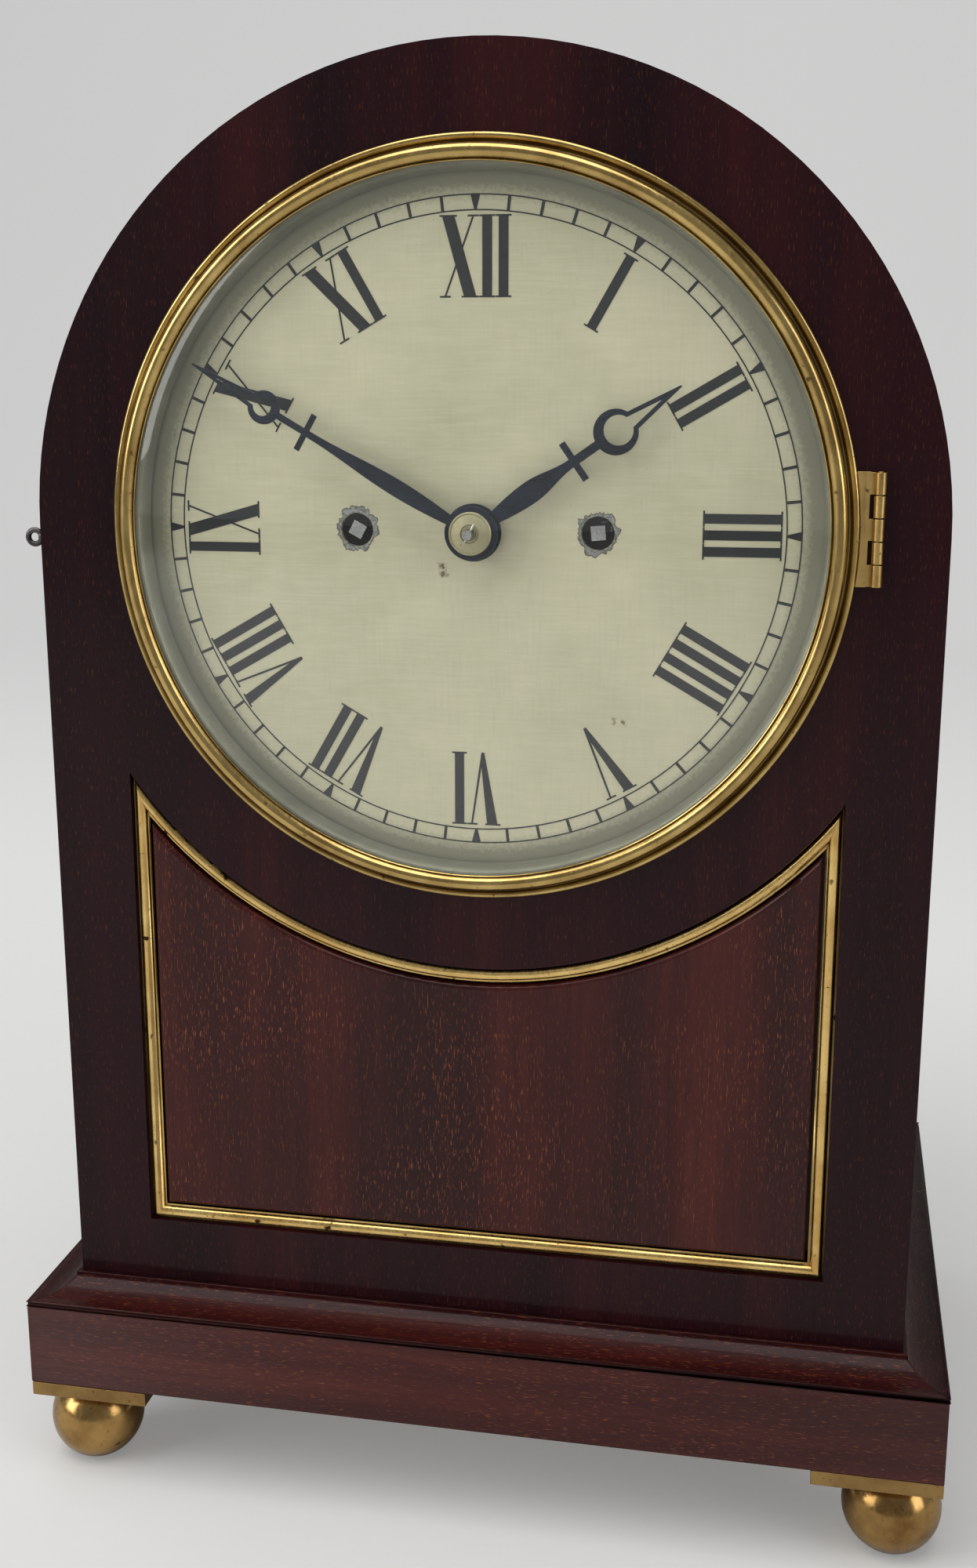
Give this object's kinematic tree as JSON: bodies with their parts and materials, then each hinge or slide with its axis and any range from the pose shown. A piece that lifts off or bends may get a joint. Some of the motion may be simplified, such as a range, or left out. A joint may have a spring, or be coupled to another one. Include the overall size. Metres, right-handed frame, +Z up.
{
  "type": "bracket clock",
  "caption": "Arch-top mahogany bracket clock with round silvered dial, hinged brass bezel, blued hands, sunk brass-edged panel, ball feet and a two-train fusee movement.",
  "frame": {"origin": "on the surface that the feet stand on, below the middle of the plinth", "axes": "+X to the right of someone facing the dial, +Y from the dial towards the rear door, +Z up"},
  "size_m": [0.275, 0.188, 0.4209],
  "materials": {
    "mahogany": "French polished",
    "oak": "sawn and planed",
    "brass": "lacquered, aged",
    "bell_metal": "turned",
    "silvered_brass": "silvered, brushed",
    "black_wax": "worn wax filling",
    "blued_steel": "blued",
    "steel": "polished",
    "gut": "twisted gut",
    "glass": "polished"
  },
  "bodies": {
    "case": {"ball_feet": "brass", "foot_plates": "brass", "plinth_frame": "mahogany", "base_board": "oak", "glue_blocks": "oak", "plinth_moulding": "mahogany", "front_board": "mahogany", "side_left": "mahogany", "side_right": "mahogany", "arch_top": "mahogany", "front_panel": "mahogany", "panel_moulding": "brass", "seat_board": "oak", "dial_plate": "silvered_brass", "dial_numerals": "black_wax", "minute_track": "black_wax", "dial_feet": "brass", "case_hinge_leaf": "brass", "case_door_hinges": "brass", "front_plate": "brass", "back_plate": "brass", "plate_pillars": "brass", "back_cock": "brass", "bell": "bell_metal", "bell_stand": "brass", "barrel_arbors": "steel", "gut_lines": "gut", "suspension_spring": "steel"},
    "bezel": {"bezel_ring": "brass", "bezel_lug": "brass", "bezel_glass": "glass", "sight_ring": "silvered_brass", "bezel_hinge_leaf": "brass"},
    "catch": {"bezel_catch": "steel"},
    "door": {"door_frame": "mahogany", "door_glass": "glass", "door_hinge_leaves": "brass"},
    "latch": {"door_latch": "brass"},
    "minute_arbor": {"centre_wheel": "brass", "cannon_pinion": "brass", "minute_hand": "blued_steel", "hand_collet": "brass"},
    "hour_pipe": {"hour_wheel": "brass", "hour_hand": "blued_steel"},
    "minute_wheel": {"minute_wheel": "brass"},
    "going_fusee": {"going_fusee": "brass"},
    "going_barrel": {"going_barrel": "brass"},
    "third_arbor": {"third_wheel": "brass"},
    "escape_arbor": {"escape_wheel": "brass"},
    "pendulum": {"pendulum_rod": "steel", "pendulum_bob": "brass", "rating_nut": "brass"},
    "pallet_arbor": {"pallets": "steel"},
    "pallet_wheel": {"pallet_wheel": "brass"},
    "pin_wheel": {"pin_wheel": "brass"},
    "strike_fusee": {"strike_fusee": "brass"},
    "strike_barrel": {"strike_barrel": "brass"},
    "warning_arbor": {"warning_wheel": "brass"},
    "fly": {"fly": "brass"},
    "hammer": {"hammer": "steel"}
  },
  "joints": [
    {"name": "bezel_hinge", "type": "hinge", "parent": "case", "child": "bezel", "pos_m": [0.1065, -0.0825, 0.29841], "axis": [0, 0, 1], "range_deg": [0, 115]},
    {"name": "bezel_catch_pull", "type": "slide", "parent": "case", "child": "catch", "axis": [-1, 0, 0], "range_m": [0, 0.0022], "stiffness_N_per_m": 400},
    {"name": "door_hinge", "type": "hinge", "parent": "case", "child": "door", "pos_m": [-0.115, 0.0817, 0.16511], "axis": [0, 0, 1], "range_deg": [0, 110]},
    {"name": "door_latch_turn", "type": "hinge", "parent": "door", "child": "latch", "pos_m": [0.106, 0, 0.18511], "axis": [0, 1, 0], "range_deg": [0, 90]},
    {"name": "minute_turn", "type": "hinge", "parent": "case", "child": "minute_arbor", "pos_m": [0, -0.04, 0.29591], "axis": [0, 1, 0], "continuous": true},
    {"name": "hour_turn", "type": "hinge", "parent": "case", "child": "hour_pipe", "pos_m": [0, -0.07, 0.29591], "axis": [0, 1, 0], "continuous": true},
    {"name": "minute_wheel_turn", "type": "hinge", "parent": "case", "child": "minute_wheel", "pos_m": [0, -0.062, 0.27431], "axis": [0, 1, 0], "continuous": true},
    {"name": "going_fusee_turn", "type": "hinge", "parent": "case", "child": "going_fusee", "pos_m": [0.0333, -0.03, 0.29591], "axis": [0, 1, 0], "continuous": true},
    {"name": "going_barrel_turn", "type": "hinge", "parent": "case", "child": "going_barrel", "pos_m": [0.04, -0.03, 0.23941], "axis": [0, 1, 0], "continuous": true},
    {"name": "third_turn", "type": "hinge", "parent": "case", "child": "third_arbor", "pos_m": [0.00856, -0.03, 0.31943], "axis": [0, 1, 0], "continuous": true},
    {"name": "escape_turn", "type": "hinge", "parent": "case", "child": "escape_arbor", "pos_m": [0, -0.03, 0.33888], "axis": [0, 1, 0], "continuous": true},
    {"name": "pendulum_swing", "type": "hinge", "parent": "case", "child": "pendulum", "pos_m": [0, 0.014, 0.35988], "axis": [0, 1, 0], "range_deg": [-3, 3]},
    {"name": "pallet_rock", "type": "hinge", "parent": "case", "child": "pallet_arbor", "pos_m": [0, -0.02, 0.35988], "axis": [0, 1, 0], "range_deg": [-3, 3]},
    {"name": "strike_turn", "type": "hinge", "parent": "case", "child": "pallet_wheel", "pos_m": [-0.02, -0.03, 0.34519], "axis": [0, 1, 0], "continuous": true},
    {"name": "pin_wheel_turn", "type": "hinge", "parent": "case", "child": "pin_wheel", "pos_m": [-0.027, -0.03, 0.32861], "axis": [0, 1, 0], "continuous": true},
    {"name": "strike_fusee_turn", "type": "hinge", "parent": "case", "child": "strike_fusee", "pos_m": [-0.0333, -0.03, 0.29591], "axis": [0, 1, 0], "continuous": true},
    {"name": "strike_barrel_turn", "type": "hinge", "parent": "case", "child": "strike_barrel", "pos_m": [-0.04, -0.03, 0.23941], "axis": [0, 1, 0], "continuous": true},
    {"name": "warning_turn", "type": "hinge", "parent": "case", "child": "warning_arbor", "pos_m": [-0.03699, -0.03, 0.34859], "axis": [0, 1, 0], "continuous": true},
    {"name": "fly_turn", "type": "hinge", "parent": "case", "child": "fly", "pos_m": [-0.046, -0.03, 0.3365], "axis": [0, 1, 0], "continuous": true},
    {"name": "hammer_swing", "type": "hinge", "parent": "case", "child": "hammer", "pos_m": [-0.06, 0.008, 0.30991], "axis": [0, 1, 0], "range_deg": [-14, 0], "stiffness_Nm_per_rad": 0.05, "springref_deg": 5.73}
  ],
  "couplings": [
    {"joint": "hour_turn", "follows": "minute_turn", "ratio": 0.083333},
    {"joint": "minute_wheel_turn", "follows": "minute_turn", "ratio": -1},
    {"joint": "going_fusee_turn", "follows": "minute_turn", "ratio": -0.083333},
    {"joint": "going_barrel_turn", "follows": "minute_turn", "ratio": -0.059028},
    {"joint": "third_turn", "follows": "minute_turn", "ratio": -12},
    {"joint": "escape_turn", "follows": "minute_turn", "ratio": 133.71},
    {"joint": "pallet_rock", "follows": "pendulum_swing", "ratio": 1},
    {"joint": "pin_wheel_turn", "follows": "strike_turn", "ratio": -0.125},
    {"joint": "strike_fusee_turn", "follows": "strike_turn", "ratio": 0.010417},
    {"joint": "strike_barrel_turn", "follows": "strike_turn", "ratio": 0.0073785},
    {"joint": "warning_turn", "follows": "strike_turn", "ratio": -10},
    {"joint": "fly_turn", "follows": "strike_turn", "ratio": 85.714}
  ]
}
